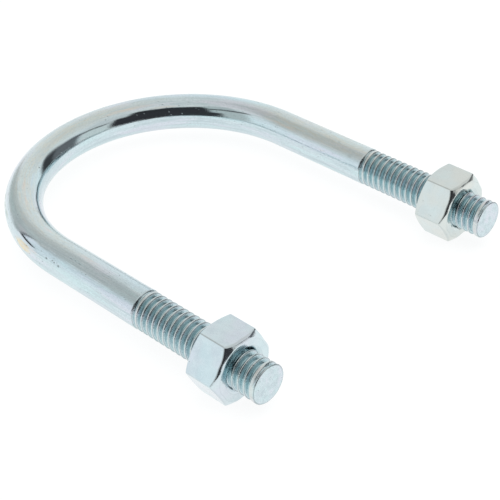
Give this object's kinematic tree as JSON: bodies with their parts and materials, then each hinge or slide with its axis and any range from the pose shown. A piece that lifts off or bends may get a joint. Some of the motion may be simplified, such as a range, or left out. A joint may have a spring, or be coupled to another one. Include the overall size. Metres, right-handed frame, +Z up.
{
  "type": "u-bolt with hex nuts",
  "caption": "Round-bend U-bolt of plain rod with a threaded end on each leg and one plain hex nut per leg, for clamping a pipe or bar to a plate.",
  "frame": {"origin": "centre of the half-round bend, on the axis of the pipe that the bolt holds, at the rod's mid-height", "axes": "+X from the bend to the leg tips, +Y towards the left leg, +Z up and along the held pipe's axis; the bolt lies flat"},
  "size_m": [0.0917, 0.08, 0.0134],
  "materials": {
    "zinc_rod": "bright zinc plating, drawn rod with fine lengthwise streaks",
    "zinc_nut": "bright zinc plating, smooth"
  },
  "bodies": {
    "u_bolt": {"u_bolt": "zinc_rod"},
    "right_bearing_ring": {"right_nut_bearing_ring": "zinc_nut"},
    "right_nut": {"right_hex_nut": "zinc_nut"},
    "left_bearing_ring": {"left_nut_bearing_ring": "zinc_nut"},
    "left_nut": {"left_hex_nut": "zinc_nut"}
  },
  "joints": [
    {"name": "right_nut_travel", "type": "slide", "parent": "u_bolt", "child": "right_bearing_ring", "axis": [1, 0, 0], "range_m": [-0.01588, 0.00494]},
    {"name": "right_nut_turn", "type": "hinge", "parent": "right_bearing_ring", "child": "right_nut", "pos_m": [0.04215, -0.03254, 0], "axis": [1, 0, 0], "range_deg": [-4050, 1260]},
    {"name": "left_nut_travel", "type": "slide", "parent": "u_bolt", "child": "left_bearing_ring", "axis": [1, 0, 0], "range_m": [-0.01588, 0.00494]},
    {"name": "left_nut_turn", "type": "hinge", "parent": "left_bearing_ring", "child": "left_nut", "pos_m": [0.04215, 0.03254, 0], "axis": [1, 0, 0], "range_deg": [-4050, 1260]}
  ],
  "couplings": [
    {"joint": "right_nut_travel", "follows": "right_nut_turn", "m_per_rad": 0.00022459},
    {"joint": "left_nut_travel", "follows": "left_nut_turn", "m_per_rad": 0.00022459}
  ]
}
